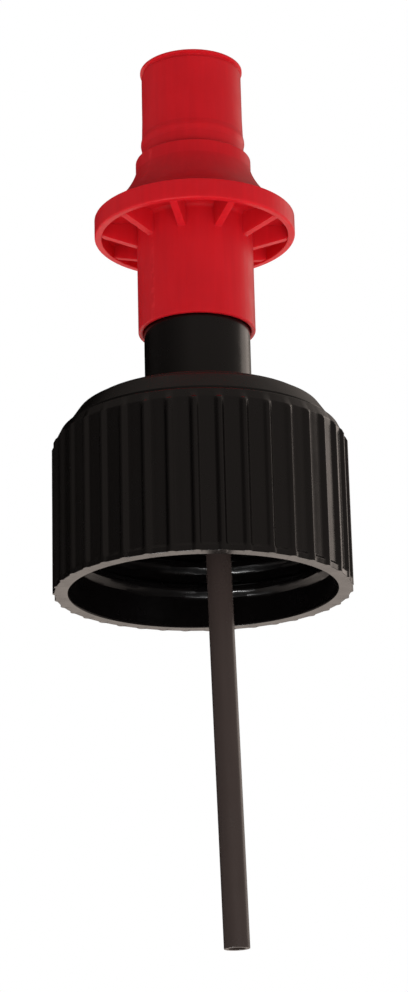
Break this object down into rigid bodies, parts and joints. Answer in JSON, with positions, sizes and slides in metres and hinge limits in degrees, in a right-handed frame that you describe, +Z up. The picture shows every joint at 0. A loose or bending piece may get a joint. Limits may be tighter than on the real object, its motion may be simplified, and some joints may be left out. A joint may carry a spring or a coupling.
{
  "type": "bottle hand pump",
  "caption": "Hand-operated finger pump for gear oil with a ribbed screw cap, sliding flanged actuator, spring-loaded piston, ball check valves and dip tube.",
  "frame": {"origin": "on the pump axis, level with the lower end of the dip tube, which is the bottom of the bounding box; the cap's lower rim is 68.25 mm above it", "axes": "+Z up along the pump axis from the dip tube to the hose outlet; +X towards the side the dip tube leans to; -Y is the front"},
  "size_m": [0.058, 0.058, 0.1796],
  "materials": {
    "black_plastic": "glossy moulded black polypropylene",
    "red_plastic": "semi-gloss moulded red polypropylene",
    "tube_plastic": "extruded dark brown polyethylene",
    "natural_plastic": "natural acetal, satin",
    "rubber": "matt nitrile rubber",
    "steel": "bright stainless steel"
  },
  "bodies": {
    "barrel": {"barrel": "black_plastic", "cap_liner": "rubber", "vent_valve": "rubber", "foot_valve_body": "black_plastic", "foot_o_ring": "rubber", "inlet_ball_cage": "natural_plastic", "dip_tube": "tube_plastic", "barrel_collar": "natural_plastic", "stem_wiper": "rubber", "return_spring": "steel"},
    "cap": {"screw_cap": "black_plastic"},
    "inlet_ball": {"inlet_ball": "steel"},
    "piston": {"piston": "natural_plastic", "piston_seal": "rubber"},
    "head": {"actuator": "red_plastic", "hose_collar": "red_plastic", "outlet_nipple": "black_plastic", "nipple_o_ring": "rubber", "piston_stem": "natural_plastic", "stem_o_ring": "rubber", "outlet_spring": "steel"},
    "outlet_ball": {"outlet_ball": "steel"}
  },
  "joints": [
    {"name": "cap_turn", "type": "hinge", "parent": "barrel", "child": "cap", "pos_m": [0, 0, 0.06825], "axis": [0, 0, 1], "continuous": true},
    {"name": "plunge", "type": "slide", "parent": "barrel", "child": "piston", "axis": [0, 0, -1], "range_m": [0, 0.015], "stiffness_N_per_m": 700, "deforming": ["return_spring"]},
    {"name": "head_turn", "type": "hinge", "parent": "piston", "child": "head", "pos_m": [0, 0, 0.14225], "axis": [0, 0, 1], "continuous": true},
    {"name": "inlet_ball_lift", "type": "slide", "parent": "barrel", "child": "inlet_ball", "axis": [0, 0, 1], "range_m": [0, 0.0015]},
    {"name": "outlet_ball_lift", "type": "slide", "parent": "head", "child": "outlet_ball", "axis": [0, 0, 1], "range_m": [0, 0.0013], "deforming": ["outlet_spring"]}
  ]
}
